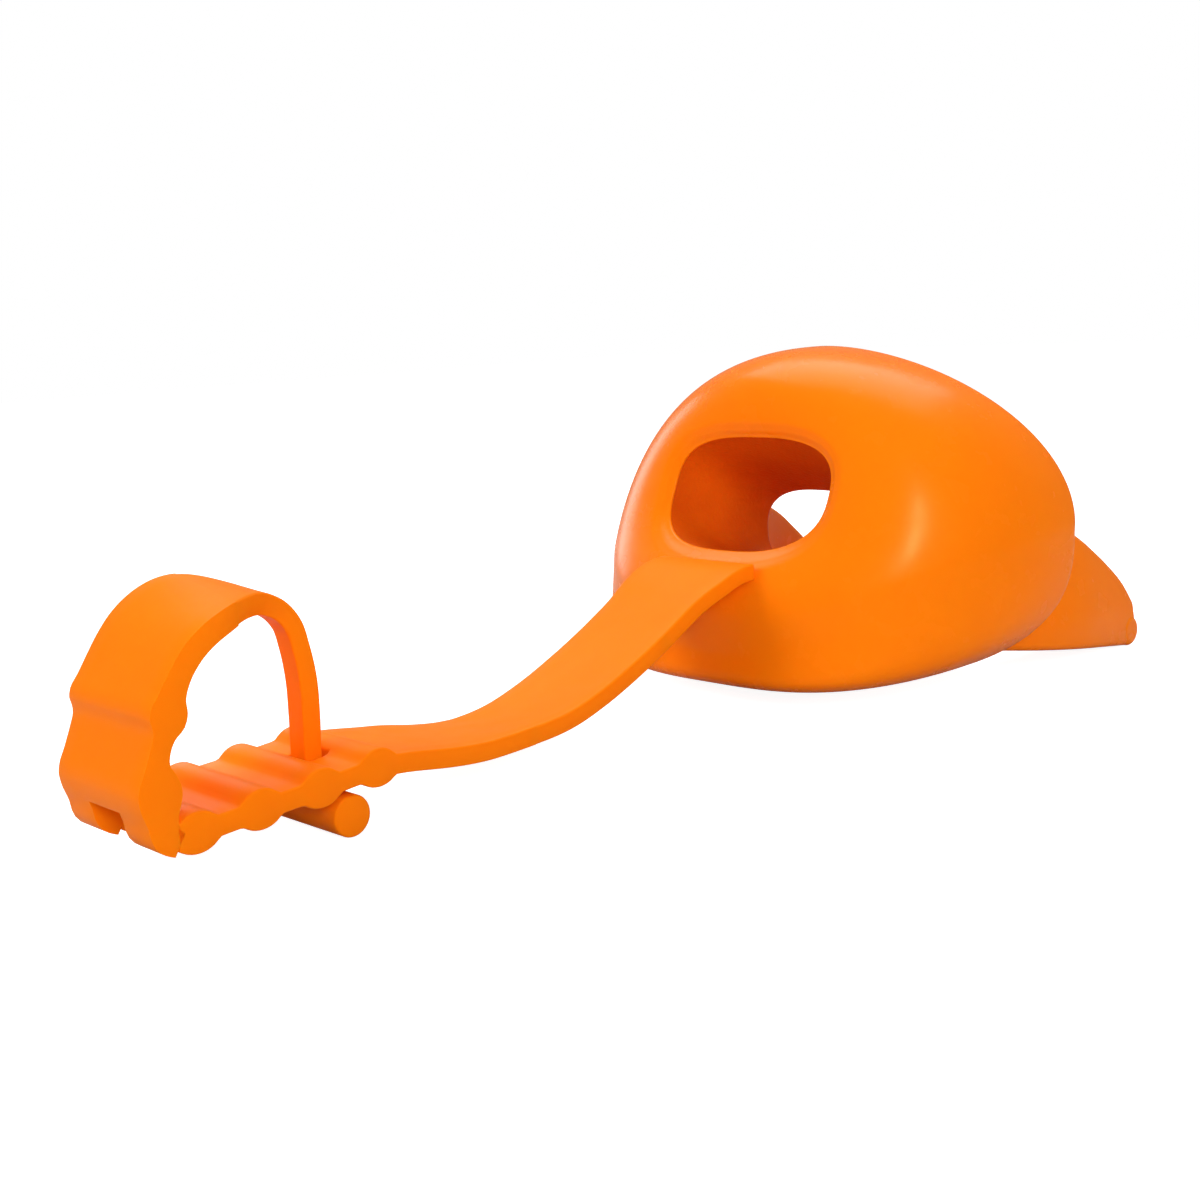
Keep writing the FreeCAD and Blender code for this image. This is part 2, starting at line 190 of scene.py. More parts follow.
def smooth_line(points, spacing):
    """Stations (y, z, direction y, direction z, *others) along a curve through the points."""
    knots = [0.0]
    for a, b in zip(points, points[1:]):
        knots.append(knots[-1] + math.hypot(b[0] - a[0], b[1] - a[1]))

    def slopes(values):
        steps = [(values[i + 1] - values[i]) / (knots[i + 1] - knots[i])
                 for i in range(len(values) - 1)]
        out = [0.0] * len(values)
        for i in range(1, len(values) - 1):
            before, after = knots[i] - knots[i - 1], knots[i + 1] - knots[i]
            out[i] = (steps[i - 1] * after + steps[i] * before) / (before + after)
        out[0] = 1.5 * steps[0] - 0.5 * out[1]
        out[-1] = 1.5 * steps[-1] - 0.5 * out[-2]
        return out

    channels = [[p[k] for p in points] for k in range(len(points[0]))]
    tangents = [slopes(values) for values in channels]
    result = []
    count = max(int(knots[-1] / spacing), 2)
    span = 0
    for i in range(count + 1):
        s = knots[-1] * i / count
        while span < len(knots) - 2 and s > knots[span + 1]:
            span += 1
        h = knots[span + 1] - knots[span]
        t = (s - knots[span]) / h
        point, along = [], []
        for values, m in zip(channels, tangents):
            a, b, ma, mb = values[span], values[span + 1], m[span] * h, m[span + 1] * h
            point.append((2 * t ** 3 - 3 * t ** 2 + 1) * a + (t ** 3 - 2 * t ** 2 + t) * ma
                         + (3 * t ** 2 - 2 * t ** 3) * b + (t ** 3 - t ** 2) * mb)
            along.append(((6 * t ** 2 - 6 * t) * (a - b) + (3 * t ** 2 - 4 * t + 1) * ma
                          + (3 * t ** 2 - 2 * t) * mb) / h)
        length = math.hypot(along[0], along[1])
        result.append((point[0], point[1], along[0] / length, along[1] / length, *point[2:]))
    return result


# ---------------------------------------------------------------- lip shield and airway

def rim_reach(start_z, angle, inset=0.0):
    """Distance from (0, start_z) to the rim, seen from the front, in a direction."""
    low, high = 0.0, 2 * RIM_HALF_WIDTH
    for _ in range(30):
        reach = (low + high) / 2
        x = abs(reach * math.cos(angle)) / (RIM_HALF_WIDTH - inset)
        z = start_z + reach * math.sin(angle) - RIM_WIDEST_Z
        height = (RIM_TOP_Z - RIM_WIDEST_Z if z > 0 else RIM_WIDEST_Z - RIM_BOTTOM_Z) - inset
        power = RIM_POWER_ABOVE if z > 0 else RIM_POWER_BELOW
        if x ** power + abs(z / height) ** power > 1:
            high = reach
        else:
            low = reach
    return reach


def rim_y(z, inset):
    height = (RIM_TOP_Z - RIM_WIDEST_Z if z > RIM_WIDEST_Z else RIM_WIDEST_Z - RIM_BOTTOM_Z) - inset
    power = RIM_POWER_ABOVE if z > RIM_WIDEST_Z else RIM_POWER_BELOW
    sine = signed_power(min(abs(z - RIM_WIDEST_Z) / height, 1), power / 2)
    sine = math.copysign(sine, z - RIM_WIDEST_Z)
    return RIM_Y[0] + RIM_Y[1] * sine + RIM_Y[2] * (1 - 2 * sine ** 2)


def hump(x, z, shape):
    height, centre_z, half_width, half_height = shape
    return height * math.exp(-(x / half_width) ** 2 - ((z - centre_z) / half_height) ** 2)


def dome_y(x, z, inset=0.0):
    """How far back a surface of the dome is, at a place seen from the front."""
    angle = math.atan2(z - DOME_CENTRE_Z, x)
    reach = rim_reach(DOME_CENTRE_Z, angle, inset)
    out = min(math.hypot(x, z - DOME_CENTRE_Z) / reach, 1.0)
    front = (DOME_DEPTH - inset) * (1 - out ** DOME_POWER) ** (1 / DOME_ROOT)
    relief = (hump(x, z, LEAN_BACK) - hump(x, z, LOWER_LIP)) * (1 - out ** 4)
    return rim_y(DOME_CENTRE_Z + reach * math.sin(angle), inset) * out ** 2 - front + relief


def rounded_reach(angle, half_width, half_height, power=OPENING_POWER):
    """Distance from the centre of a rounded rectangle to its outline."""
    c = abs(math.cos(angle)) / half_width
    s = abs(math.sin(angle)) / half_height
    return (c ** power + s ** power) ** (-1 / power)


def duct_share(angle, y):
    """0 at the front lip and 1 at the airway's rear end."""
    reach = rounded_reach(angle, OPENING_HALF_WIDTH, OPENING_HALF_HEIGHT)
    front = dome_y(reach * math.cos(angle), OPENING_Z + reach * math.sin(angle)) + BEVEL_DEPTH + LINER_DEPTH
    return max(y - front, 0) / (DUCT_REAR_Y - front)


def duct_ring(angles, y_of, grow):
    """A ring round the airway; y_of gives each point's y, and its size follows from that."""
    ring = []
    for angle in angles:
        y = y_of(angle)
        share = duct_share(angle, y)
        half_width = lerp(OPENING_HALF_WIDTH, DUCT_REAR_HALF_WIDTH, share) + grow
        half_height = lerp(OPENING_HALF_HEIGHT, DUCT_REAR_HALF_HEIGHT, share) + grow
        reach = rounded_reach(angle, half_width, half_height,
                              lerp(OPENING_POWER, DUCT_REAR_POWER, share))
        ring.append((reach * math.cos(angle), y,
                     lerp(OPENING_Z, DUCT_REAR_Z, share) + reach * math.sin(angle)))
    return ring


def lip_ring(angles, grow, depth):
    """A ring of the airway's front lip, a depth behind the dome's surface."""
    ring = []
    for angle in angles:
        reach = rounded_reach(angle, OPENING_HALF_WIDTH + grow, OPENING_HALF_HEIGHT + grow)
        x, z = reach * math.cos(angle), OPENING_Z + reach * math.sin(angle)
        ring.append((x, dome_y(x, z) + depth, z))
    return ring


def dome_ring(angles, share, inset, start_grow):
    """A ring of a dome surface: share 0 is at the airway and 1 at the rim."""
    ring = []
    for angle in angles:
        start = rounded_reach(angle, OPENING_HALF_WIDTH + start_grow,
                              OPENING_HALF_HEIGHT + start_grow)
        end = rim_reach(OPENING_Z, angle, inset)
        reach = lerp(start, end, share)
        x, z = reach * math.cos(angle), OPENING_Z + reach * math.sin(angle)
        ring.append((x, dome_y(x, z, inset), z))
    return ring


def ring_mesh(bm, rings):
    """Joins closed rings into a tube whose last ring meets its first."""
    rows = [[bm.verts.new(place(*p)) for p in ring] for ring in rings]
    for i in range(len(rows)):
        a, b = rows[i], rows[(i + 1) % len(rows)]
        for j in range(len(a)):
            k = (j + 1) % len(a)
            bm.faces.new((a[j], a[k], b[k], b[j]))


def shield_rings():
    angles = [2 * math.pi * (i + 0.5) / AROUND for i in range(AROUND)]
    rings = []
    # the front lip, from the airway's wall over the bevel to the dome
    rings.append(lip_ring(angles, 0.4, BEVEL_DEPTH + 1.2))
    rings.append(lip_ring(angles, 0.0, BEVEL_DEPTH + 0.35))
    for i in range(5):
        turn = math.pi / 2 * i / 4
        rings.append(lip_ring(angles, 0.25 * (1 - math.cos(turn)),
                              BEVEL_DEPTH + 0.25 * (1 - math.sin(turn)) - 0.02))
    rings.append(lip_ring(angles, BEVEL_WIDTH * 0.5, BEVEL_DEPTH * 0.72))
    for i in range(7):
        share = i / 6
        depth = BEVEL_DEPTH * 0.42 * (1 - ease(share)) * (1 - 0.35 * share)
        rings.append(lip_ring(angles, BEVEL_WIDTH * 0.75 + LIP_ROUND * 1.6 * share, depth))
    outer_start = BEVEL_WIDTH * 0.75 + LIP_ROUND * 1.6
    steps = 54
    for i in range(1, steps + 1):
        share = 1 - (1 - i / steps) ** 2.6
        rings.append(dome_ring(angles, share, 0.0, outer_start))
    # the rounded rim, and the inside of the dome back to the airway's outer wall
    outer, inner = rings[-1], dome_ring(angles, 1.0, SHIELD_WALL, DUCT_WALL)
    for i in range(1, 8):
        turn = math.pi * i / 8
        across = (1 - math.cos(turn)) / 2
        bulge = 0.9 * math.sin(turn)
        rings.append([tuple(lerp(a, b, across) + (bulge if k == 1 else 0)
                            for k, (a, b) in enumerate(zip(p, q)))
                      for p, q in zip(outer, inner)])
    steps = 34
    for i in range(steps, -1, -1):
        share = 1 - (1 - i / steps) ** 2.6
        rings.append(dome_ring(angles, share, SHIELD_WALL, DUCT_WALL + 1.0))
    return rings


def duct_rings():
    """The airway's outer wall, its rear edge, and its inner wall forward again."""
    angles = [2 * math.pi * (i + 0.5) / AROUND for i in range(AROUND)]
    rings = []
    starts = {}
    for angle, point in zip(angles, dome_ring(angles, 0.0, SHIELD_WALL, DUCT_WALL)):
        starts[angle] = point[1] - 0.7
    for i in range(10):
        rings.append(duct_ring(angles, lambda a, i=i: lerp(starts[a], DUCT_REAR_Y - 0.8, i / 9),
                               DUCT_WALL))
    for i in range(1, 8):
        turn = math.pi * i / 8
        rings.append(duct_ring(angles, lambda a, t=turn: DUCT_REAR_Y - 0.8 + 0.8 * math.sin(t),
                               DUCT_WALL * (1 + math.cos(turn)) / 2))
    fronts = {}
    for angle, point in zip(angles, lip_ring(angles, 0.0, BEVEL_DEPTH + LINER_DEPTH)):
        fronts[angle] = point[1]
    for i in range(17):
        rings.append(duct_ring(angles, lambda a, i=i: lerp(DUCT_REAR_Y - 0.8, fronts[a], i / 16), 0.0))
    return rings


def make_shield(material):
    bm = bmesh.new()
    ring_mesh(bm, shield_rings())
    piece = new_piece("shield_dome", bm, material, sharp=50)
    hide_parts("lip_shield")
    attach(piece, "root")


def make_duct(material):
    bm = bmesh.new()
    ring_mesh(bm, duct_rings())
    piece = new_piece("airway_tube", bm, material, sharp=50)
    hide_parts("airway_duct")
    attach(piece, "root")


# ---------------------------------------------------------------- ribbons (strap and loop)

def ribbon(name, stations, columns, material, shape, holes=(), capped=(True, True), bevel=0.35):
    """A flat strip: shape(station) gives half width, upper and lower offsets and x shear.

    columns are shares of the half width from -1 to 1. holes(station, share) tells which
    cells are left out, so that slots get their own walls."""
    bm = bmesh.new()
    grid = {}

    def vert(i, j, side):
        key = (i, j, side)
        if key not in grid:
            y, z, ty, tz = stations[i][:4]
            half, up, down, twist = shape(stations[i])
            offset = up if side else -down
            x = columns[j] if half is None else columns[j] * half
            lift = twist * (x / STRAP_HALF_WIDTH)
            grid[key] = bm.verts.new(place(x, y + tz * offset, z - ty * offset + lift))
        return grid[key]

    def solid(i, j):
        if not (0 <= i < len(stations) - 1 and 0 <= j < len(columns) - 1):
            return False
        y = (stations[i][0] + stations[i + 1][0]) / 2
        z = (stations[i][1] + stations[i + 1][1]) / 2
        x = (columns[j] + columns[j + 1]) / 2
        return not any(hole(y, z, x) for hole in holes)

    cut_verts = set()
    for i in range(len(stations) - 1):
        for j in range(len(columns) - 1):
            if not solid(i, j):
                continue
            bm.faces.new([vert(i, j, 1), vert(i + 1, j, 1), vert(i + 1, j + 1, 1), vert(i, j + 1, 1)])
            bm.faces.new([vert(i, j + 1, 0), vert(i + 1, j + 1, 0), vert(i + 1, j, 0), vert(i, j, 0)])
            walls = (((i, j), (i + 1, j), (i, j - 1)), ((i, j + 1), (i + 1, j + 1), (i, j + 1)),
                     ((i, j), (i, j + 1), (i - 1, j)), ((i + 1, j), (i + 1, j + 1), (i + 1, j)))
            for a, b, neighbour in walls:
                if not solid(*neighbour):
                    bm.faces.new([vert(*a, 0), vert(*b, 0), vert(*b, 1), vert(*a, 1)])
    last = len(stations) - 1
    for (i, j, side), v in grid.items():
        if (i == 0 and not capped[0]) or (i == last and not capped[1]):
            cut_verts.add(v)
    bmesh.ops.recalc_face_normals(bm, faces=bm.faces)
    edges = [e for e in bm.edges
             if len(e.link_faces) == 2 and e.calc_face_angle(0) > math.radians(55)
             and not (e.verts[0] in cut_verts and e.verts[1] in cut_verts)]
    bmesh.ops.bevel(bm, geom=edges, offset=bevel * MM, segments=3, profile=0.5,
                    affect="EDGES", clamp_overlap=True)
    return new_piece(name, bm, material, sharp=48)


def even_columns(half, step, cuts=()):
    """x of the columns across a strip, with one exactly at each cut."""
    marks = sorted(set([-half, half] + [s * c for c in cuts for s in (-1, 1)]))
    columns = []
    for a, b in zip(marks, marks[1:]):
        count = max(int(round((b - a) / step)), 1)
        columns += [lerp(a, b, i / count) for i in range(count)]
    return columns + [half]


def strap_twist(y):
    """The strap's near edge rides a little higher than its far edge in mid span."""
    return 0.9 * ease((-30 - y) / 8) * ease((y + 80) / 14)


def strap_shape(station):
    y = station[0]
    thick = STRAP_HALF_THICK
    for ridge_y in LADDER_RIDGES:
        near = 1 - ((y - ridge_y) / RIDGE_HALF_LENGTH) ** 2
        bump = RIDGE_HALF_HEIGHT * math.sqrt(near) if near > 0 else 0.0
        thick = soft_max(thick, bump, SOFT_EDGE)
    low = STRAP_HALF_THICK + (thick - STRAP_HALF_THICK) * RIDGE_UNDERSIDE
    return None, thick, low, strap_twist(y)


def make_strap(material):
    """Three bands that meet at shared stations."""
    stations = smooth_line(STRAP_LINE, STRAP_STEP)
    parts = (("strap_upper_band", ("strap_root", "strap_upper"), "strap_root_flex", "root", "strap_upper"),
             ("strap_middle_band", ("strap_lower",), "strap_mid_flex", "strap_upper", "strap_lower"),
             ("strap_ladder_band", ("ladder",), "strap_end_flex", "strap_lower", "ladder"))
    slots = (lambda y, z, x: TAIL_SLOT[0] < y < TAIL_SLOT[1] and abs(x) < TAIL_SLOT[2],
             lambda y, z, x: y < FOLD_SLOT[1] and abs(x) < FOLD_SLOT[2])
    for index, (name, nodes, joint, body_a, body_b) in enumerate(parts):
        last = index == len(parts) - 1
        chosen = cut_stations(stations, STRAP_CUTS[index], STRAP_CUTS[index + 1])
        columns = even_columns(STRAP_HALF_WIDTH, COLUMN_STEP,
                               (TAIL_SLOT[2], FOLD_SLOT[2]) if last else ())
        piece = ribbon(name, chosen, columns, material, strap_shape, slots if last else (),
                       capped=(index == 0, last))
        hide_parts(*nodes)
        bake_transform(piece)


def cut_stations(stations, start_y, end_y):
    """The stations between two y values; pieces that meet share the one at the cut."""
    order = [s[0] for s in stations]
    first = order.index(min(order, key=lambda y: abs(y - start_y)))
    last = order.index(min(order, key=lambda y: abs(y - end_y)))
    return stations[first:last + 1]


def loop_shape(station):
    """Half width, outer and inner offsets and shear of the panel, arch and tail."""
    y, thick = station[0], station[4]
    if y < TAPER_START_Y:
        half = STRAP_HALF_WIDTH
    else:
        half = lerp(STRAP_HALF_WIDTH, TAIL_HALF_WIDTH,
                    ease((y - TAPER_START_Y) / (TAPER_END_Y - TAPER_START_Y)))
    pull, pull_y, pull_width = ARCH_TWIST
    share = math.exp(-((y - pull_y) / pull_width) ** 2) * ease((station[1] - 19) / 6)
    return half, thick - ARCH_RAISE * share, thick + ARCH_RAISE * share, pull * share


def make_loop(material):
    """The upright front, then the arch with its tail, meeting at the loop's top."""
    stations = smooth_line(PANEL_LINE, STRAP_STEP)
    crown, top, bend = (min(range(len(stations)),
                            key=lambda i: math.hypot(stations[i][0] - y, stations[i][1] - z))
                        for y, z in LOOP_PLACES)
    half = STRAP_HALF_WIDTH
    shares = [x / half for x in even_columns(half, COLUMN_STEP, (FOLD_SLOT[2],))]
    slot = (lambda y, z, x: z < FOLD_SLOT_TOP and y < FOLD_SLOT[1] + 0.6
            and abs(x * half) < FOLD_SLOT[2],)
    parts = (("loop_front", stations[:top + 1], shares, slot, ("fold_panel",), "panel", "arch",
              crown, (True, False)),
             ("loop_top_and_tail", stations[top:], [s / 6 for s in range(-6, 7)], (),
              ("loop_arch", "tail_cord"), "arch", "tail", bend, (False, True)))
    for name, chosen, columns, holes, nodes, body_a, body_b, joint, capped in parts:
        piece = ribbon(name, chosen, columns, material, loop_shape, holes, capped)
        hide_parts(*nodes)
        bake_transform(piece)


def make_toggle(material):
    """The cross bar: a cylinder with a flat top and slightly rounded ends."""
    bm = bmesh.new()
    profile = []
    flat = math.asin((TOGGLE_FLAT_Z - TOGGLE_RADIUS) / TOGGLE_RADIUS)
    count = 40
    for i in range(count + 1):
        turn = math.pi - flat + (math.pi + 2 * flat) * i / count
        profile.append((TOGGLE_RADIUS * math.cos(turn), TOGGLE_RADIUS + TOGGLE_RADIUS * math.sin(turn)))
    rows = []
    for x in even_columns(TOGGLE_HALF_LENGTH, 2.0):
        rows.append([bm.verts.new(place(x, TOGGLE_Y + y, z)) for y, z in profile])
    for a, b in zip(rows, rows[1:]):
        for j in range(len(a)):
            k = (j + 1) % len(a)
            bm.faces.new((a[j], a[k], b[k], b[j]))
    bm.faces.new(rows[0][::-1])
    bm.faces.new(rows[-1])
    bmesh.ops.recalc_face_normals(bm, faces=bm.faces)
    edges = [e for e in bm.edges if e.calc_face_angle(0) > math.radians(40)]
    bmesh.ops.bevel(bm, geom=edges, offset=0.3 * MM, segments=3, profile=0.5, affect="EDGES",
                    clamp_overlap=True)
    piece = new_piece("toggle_cross_bar", bm, material, sharp=40)
    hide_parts("toggle_bar")
    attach(piece, "tail")
    return piece


# ---------------------------------------------------------------- mouthpiece

def tray_place(x, y, h):
    """A point of the level tray, tipped so that its rear beads stand on z = 0."""
    dy, dz = y - TRAY_REAR_Y, h - BEAD_RADIUS
    c, s = math.cos(TRAY_TILT), math.sin(TRAY_TILT)
    return x, TRAY_REAR_Y + dy * c - dz * s, BEAD_RADIUS + dy * s + dz * c


def wall_top_z(y):
    line = smooth_line(WALL_TOP_LINE, 0.8)
    y = min(max(y, line[0][0]), line[-1][0])
    for (ya, za, *_), (yb, zb, *_) in zip(line, line[1:]):
        if y <= yb:
            return lerp(za, zb, (y - ya) / (yb - ya))
    return line[-1][1]


def wall_height(x, y):
    """Height of the wall's top above the plate's bottom, measured on the level tray."""
    share = (TRAY_FRONT_Y - DUCT_BEND_Y) / (DUCT_REAR_Y - DUCT_BEND_Y)
    half_width = lerp(OPENING_HALF_WIDTH, DUCT_REAR_HALF_WIDTH, share) + DUCT_WALL / 2
    half_height = lerp(OPENING_HALF_HEIGHT, DUCT_REAR_HALF_HEIGHT, share) + DUCT_WALL / 2
    height = 10.0
    for _ in range(6):
        _, world_y, world_z = tray_place(x, y, height)
        target = wall_top_z(world_y)
        if y < TRAY_BEND_Y and abs(x) < half_width:
            share = (world_y - DUCT_BEND_Y) / (DUCT_REAR_Y - DUCT_BEND_Y)
            centre = lerp(OPENING_Z, DUCT_REAR_Z, share)
            drop = half_height * (1 - (abs(x) / half_width) ** OPENING_POWER) ** (1 / OPENING_POWER)
            target = min(target, centre - drop)
        height += target - world_z
    return max(height, PLATE_THICK + 0.6)


def tray_profile(height):
    """Cross-section of one arm: (distance in from the outer face, height)."""
    w, t = WALL_THICK, PLATE_THICK
    points = []

    def corner(cx, cy, start, end, radius, steps=4):
        for i in range(steps + 1):
            turn = math.radians(lerp(start, end, i / steps))
            points.append((cx + radius * math.cos(turn), cy + radius * math.sin(turn)))

    corner(1.1, 1.1, 270, 180, 1.1)
    top = max(height - w / 2, t + 1.0)
    for i in range(1, 6):
        points.append((0.0, lerp(1.1, top, i / 6)))
    corner(w / 2, top, 180, 0, w / 2, 8)
    fillet = 1.0
    for i in range(1, 4):
        points.append((w, lerp(top, t + fillet, i / 4)))
    points += [(w + fillet - fillet * math.cos(math.radians(a)),
                t + fillet - fillet * math.sin(math.radians(a))) for a in (0, 22, 45, 68, 90)]
    for i in range(1, 5):
        points.append((lerp(w + fillet, PLATE_WIDTH - 2.4, i / 5), t))
    points.append((PLATE_WIDTH - 2.0, t + 0.15))
    corner(PLATE_WIDTH - 0.9, t + 0.1, 120, 0, 0.9, 5)
    corner(PLATE_WIDTH - 0.9, 0.9, 0, -90, 0.9)
    for i in range(1, 4):
        points.append((lerp(PLATE_WIDTH - 0.9, 1.1, i / 4), 0.0))
    return points


def make_tray(material):
    """The U-shaped tray: one section swept from one rear end round the front to the other."""
    path = []
    arm_steps, bend_steps = 10, 120
    for i in range(arm_steps):
        path.append(("arm", 1, lerp(TRAY_REAR_Y + ARM_OVERLAP, TRAY_BEND_Y, i / arm_steps)))
    for i in range(bend_steps + 1):
        path.append(("bend", 0, math.pi * i / bend_steps))
    for i in range(1, arm_steps + 1):
        path.append(("arm", -1, lerp(TRAY_BEND_Y, TRAY_REAR_Y + ARM_OVERLAP, i / arm_steps)))

    def at(step, inward):
        kind, side, value = step
        a = TRAY_HALF_WIDTH - inward
        b = TRAY_BEND_Y - TRAY_FRONT_Y - inward
        if kind == "arm":
            return side * a, value
        return a * math.cos(value), TRAY_BEND_Y - b * math.sin(value)

    def lean(inward, height):
        near_wall = 1 - ease((inward - WALL_THICK) / 2.0)
        return WALL_LEAN * max(height - PLATE_THICK, 0) * near_wall

    bm = bmesh.new()
    rows = []
    for step in path:
        x0, y0 = at(step, WALL_THICK)
        profile = tray_profile(wall_height(x0, y0))
        rows.append([bm.verts.new(place(*tray_place(*at(step, d + lean(d, h)), h)))
                     for d, h in profile])
    for a, b in zip(rows, rows[1:]):
        for j in range(len(a)):
            k = (j + 1) % len(a)
            bm.faces.new((a[j], a[k], b[k], b[j]))
    bm.faces.new(rows[0])
    bm.faces.new(rows[-1][::-1])
    piece = new_piece("mouthpiece_tray", bm, material, sharp=50)
    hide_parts("mouthpiece_wall", "bite_plate")
    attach(piece, "root")
    return piece


def make_bead(side, material):
    """The rolled rear end of one arm: a round bar with rounded edges."""
    bm = bmesh.new()
    inner_x = TRAY_HALF_WIDTH - PLATE_WIDTH - BEAD_INNER_OVERHANG
    outer_x = TRAY_HALF_WIDTH + BEAD_OUTER_OVERHANG
    rings = []
    stops = [(inner_x, 0.25)]
    for i in range(9):
        turn = math.pi / 2 * i / 8
        stops.append((inner_x + BEAD_ROUND * (1 - math.cos(turn)),
                      1 - BEAD_ROUND / BEAD_RADIUS * (1 - math.sin(turn))))
    stops += [(inner_x + outer_x - x, share) for x, share in reversed(stops)]
    count = 40
    for x, share in stops:
        rings.append([bm.verts.new(place(side * x, TRAY_REAR_Y + BEAD_RADIUS * share * math.cos(t),
                                         BEAD_RADIUS + BEAD_RADIUS * share * math.sin(t)))
                      for t in (2 * math.pi * k / count for k in range(count))])
    for a, b in zip(rings, rings[1:]):
        for j in range(count):
            k = (j + 1) % count
            bm.faces.new((a[j], a[k], b[k], b[j]))
    bm.faces.new(rings[0][::-1])
    bm.faces.new(rings[-1])
    name = "left" if side < 0 else "right"
    piece = new_piece("end_roll_" + name, bm, material, sharp=60)
    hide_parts("end_bead_" + name)
    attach(piece, "root")
    return piece


# ---------------------------------------------------------------- materials

def noise(nodes, links, vector, scale, detail):
    texture = nodes.new("ShaderNodeTexNoise")
    texture.inputs["Scale"].default_value = scale
    texture.inputs["Detail"].default_value = detail
    links.new(vector, texture.inputs["Vector"])
    return texture.outputs["Fac"]


def elastomer(name, colour, deep, roughness, grain_scale, grain_height, mottle=0.5, gloss=0.22):
    """Soft moulded elastomer: slightly cloudy colour, satin skin and a fine mould texture."""
    material = bpy.data.materials.new(name)
    material.use_nodes = True
    nodes, links = material.node_tree.nodes, material.node_tree.links
    shader = nodes["Principled BSDF"]
    shader.inputs["IOR"].default_value = 1.43
    shader.inputs["Specular IOR Level"].default_value = gloss
    shader.inputs["Specular Tint"].default_value = (1.0, 0.62, 0.25, 1)
    shader.inputs["Subsurface Weight"].default_value = 0.18
    shader.inputs["Subsurface Radius"].default_value = (1.0, 0.35, 0.08)
    shader.inputs["Subsurface Scale"].default_value = 0.0022
    vector = nodes.new("ShaderNodeTexCoord").outputs["Object"]

    spread = nodes.new("ShaderNodeMapRange")
    spread.inputs["From Min"].default_value = 0.35
    spread.inputs["From Max"].default_value = 0.75
    spread.inputs["To Max"].default_value = mottle
    links.new(noise(nodes, links, vector, 60, 3), spread.inputs["Value"])
    tint = nodes.new("ShaderNodeMix")
    tint.data_type = "RGBA"
    tint.inputs["A"].default_value = (*colour, 1)
    tint.inputs["B"].default_value = (*deep, 1)
    links.new(spread.outputs["Result"], tint.inputs["Factor"])
    links.new(tint.outputs["Result"], shader.inputs["Base Color"])

    rough = nodes.new("ShaderNodeMapRange")
    rough.inputs["To Min"].default_value = roughness - 0.06
    rough.inputs["To Max"].default_value = roughness + 0.08
    links.new(noise(nodes, links, vector, 220, 4), rough.inputs["Value"])
    links.new(rough.outputs["Result"], shader.inputs["Roughness"])

    height = nodes.new("ShaderNodeMath")
    height.operation = "MULTIPLY_ADD"
    height.inputs[1].default_value = 6.0
    links.new(noise(nodes, links, vector, 45, 1), height.inputs[0])
    links.new(noise(nodes, links, vector, grain_scale, 2), height.inputs[2])
    bump = nodes.new("ShaderNodeBump")
    bump.inputs["Strength"].default_value = 0.35
    bump.inputs["Distance"].default_value = grain_height * MM
    links.new(height.outputs["Value"], bump.inputs["Height"])
    links.new(bump.outputs["Normal"], shader.inputs["Normal"])
    return material


# ---------------------------------------------------------------- stage

FLOOR_GREY = 0.55                        # how much of the light the floor gives back
FLOOR_LIFT = 0.92                        # glow that only camera rays see, so the floor looks white
FLOOR_HALF_SIZE = 1.5
FLOOR_DROP = 0.0002                      # keeps the floor just clear of the part's underside
FILL_STRENGTH = 0.24
# name, place, aim, width, height, power, and the rays that don't see the light
LIGHTS = (("overhead", (-0.12, 0.16, 0.46), (0, 0, 0.02), 0.50, 0.36, 2.0, None),
          ("rear", (-0.48, 0.12, 0.12), (0, 0, 0.03), 0.15, 0.22, 0.30, "visible_camera"),
          ("right_key", (0.52, -0.27, 0.25), (0, 0, 0.02), 0.30, 0.22, 2.3, "visible_glossy"),
          ("left_key", (-0.25, -0.45, 0.32), (0, 0, 0.02), 0.30, 0.22, 1.5, "visible_glossy"),
          ("strip", (0.316, -0.223, 0.264), (0.028, 0.026, 0.025), 0.022, 0.12, 0.9,
           "visible_diffuse"))


def make_floor():
    """A grey floor that looks white to the camera."""
    bm = bmesh.new()
    bmesh.ops.create_grid(bm, x_segments=4, y_segments=4, size=FLOOR_HALF_SIZE)
    mesh = bpy.data.meshes.new("floor")
    bm.to_mesh(mesh)
    bm.free()
    floor = bpy.data.objects.new("floor", mesh)
    floor.location = (0, 0, -FLOOR_DROP)
    bpy.context.scene.collection.objects.link(floor)
    material = bpy.data.materials.new("pale_floor")
    material.use_nodes = True
    nodes, links = material.node_tree.nodes, material.node_tree.links
    shader = nodes["Principled BSDF"]
    shader.inputs["Base Color"].default_value = (FLOOR_GREY, FLOOR_GREY, FLOOR_GREY, 1)
    shader.inputs["Roughness"].default_value = 0.9
    shader.inputs["Specular IOR Level"].default_value = 0.0
    shader.inputs["Emission Color"].default_value = (1, 1, 1, 1)
    seen = nodes.new("ShaderNodeLightPath")
    lift = nodes.new("ShaderNodeMath")
    lift.operation = "MULTIPLY"
    lift.inputs[1].default_value = FLOOR_LIFT
    links.new(seen.outputs["Is Camera Ray"], lift.inputs[0])
    links.new(lift.outputs["Value"], shader.inputs["Emission Strength"])
    mesh.materials.append(material)


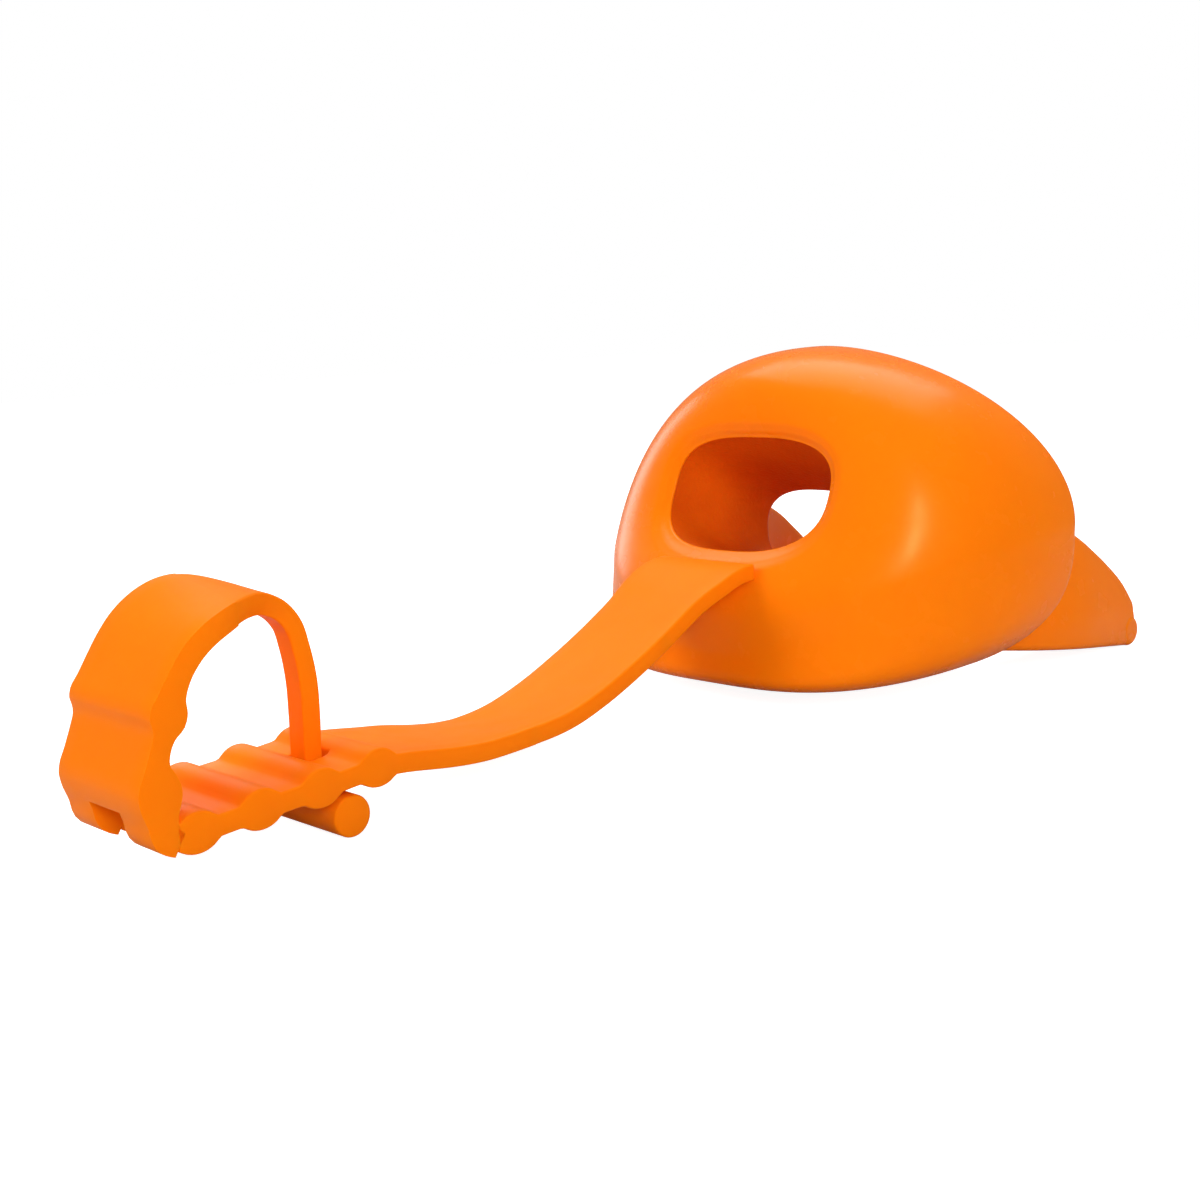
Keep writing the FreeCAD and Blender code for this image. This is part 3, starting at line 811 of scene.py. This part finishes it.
def make_world():
    """White behind the part for the camera, and a weaker white fill for every other ray."""
    world = bpy.data.worlds.new("studio")
    world.use_nodes = True
    nodes, links = world.node_tree.nodes, world.node_tree.links
    soft = nodes["Background"]
    soft.inputs["Color"].default_value = (1, 1, 1, 1)
    soft.inputs["Strength"].default_value = FILL_STRENGTH
    white = nodes.new("ShaderNodeBackground")
    white.inputs["Color"].default_value = (1, 1, 1, 1)
    seen = nodes.new("ShaderNodeLightPath")
    mixed = nodes.new("ShaderNodeMixShader")
    links.new(seen.outputs["Is Camera Ray"], mixed.inputs["Fac"])
    links.new(soft.outputs["Background"], mixed.inputs[1])
    links.new(white.outputs["Background"], mixed.inputs[2])
    links.new(mixed.outputs["Shader"], nodes["World Output"].inputs["Surface"])
    bpy.context.scene.world = world


def make_lights():
    for name, spot, aim, width, height, power, unseen_by in LIGHTS:
        data = bpy.data.lights.new(name, "AREA")
        data.shape = "RECTANGLE"
        data.size = width
        data.size_y = height
        data.energy = power
        lamp = bpy.data.objects.new(name, data)
        lamp.location = spot
        lamp.rotation_euler = (Vector(aim) - Vector(spot)).to_track_quat("-Z", "Y").to_euler()
        bpy.context.scene.collection.objects.link(lamp)
        if unseen_by:
            setattr(lamp, unseen_by, False)


CAMERA_AIM = Vector((-0.0066, -0.0008, 0.0167))
CAMERA_AZIMUTH = 45.9                    # degrees: 0 looks along +Y
CAMERA_ELEVATION = 10.15
CAMERA_ROLL = -3.04
CAMERA_DISTANCE = 0.220
CAMERA_LENS = 47.1


def make_camera():
    azimuth, elevation, roll = (math.radians(a) for a in (CAMERA_AZIMUTH, CAMERA_ELEVATION, CAMERA_ROLL))
    back = Vector((math.sin(azimuth) * math.cos(elevation), -math.cos(azimuth) * math.cos(elevation),
                   math.sin(elevation)))
    right = Vector((math.cos(azimuth), math.sin(azimuth), 0))
    up = back.cross(right)
    right, up = (right * math.cos(roll) + up * math.sin(roll), up * math.cos(roll) - right * math.sin(roll))
    data = bpy.data.cameras.new("camera")
    data.sensor_width = 36
    data.lens = CAMERA_LENS
    data.clip_start = 0.01
    camera = bpy.data.objects.new("camera", data)
    matrix = Matrix((right, up, back)).transposed().to_4x4()
    matrix.translation = CAMERA_AIM + back * CAMERA_DISTANCE
    camera.matrix_world = matrix
    bpy.context.scene.collection.objects.link(camera)
    bpy.context.scene.camera = camera


# ---------------------------------------------------------------- scene

ORANGE = (0.98, 0.205, 0.002)
DEEP_ORANGE = (0.94, 0.175, 0.002)
# airway wall colours: partly the wall's own darker, redder tone and partly painted shade for the inside of
# the airway
DUCT_ORANGE_WITH_PAINTED_SHADE = (0.74, 0.11, 0.002)
DUCT_DEEP_WITH_PAINTED_SHADE = (0.58, 0.062, 0.001)

make_camera()
make_floor()
make_world()
make_lights()
bpy.context.scene.view_settings.view_transform = "Standard"
skin = elastomer("orange_elastomer", ORANGE, DEEP_ORANGE, 0.25, 2600, 0.012)
# the airway's darker, redder colours hold painted shade as well as the grained wall's own tone
duct_skin_with_painted_shade = elastomer("grained_elastomer_with_painted_shade", DUCT_ORANGE_WITH_PAINTED_SHADE, DUCT_DEEP_WITH_PAINTED_SHADE, 0.55, 1900, 0.40, 0.8)
strap_skin = elastomer("matte_elastomer", ORANGE, DEEP_ORANGE, 0.46, 2200, 0.02, gloss=0.10)
make_shield(skin)
make_duct(duct_skin_with_painted_shade)
make_tray(skin)
for bead_side in (-1, 1):
    make_bead(bead_side, skin)
make_strap(strap_skin)
make_loop(strap_skin)
make_toggle(strap_skin)
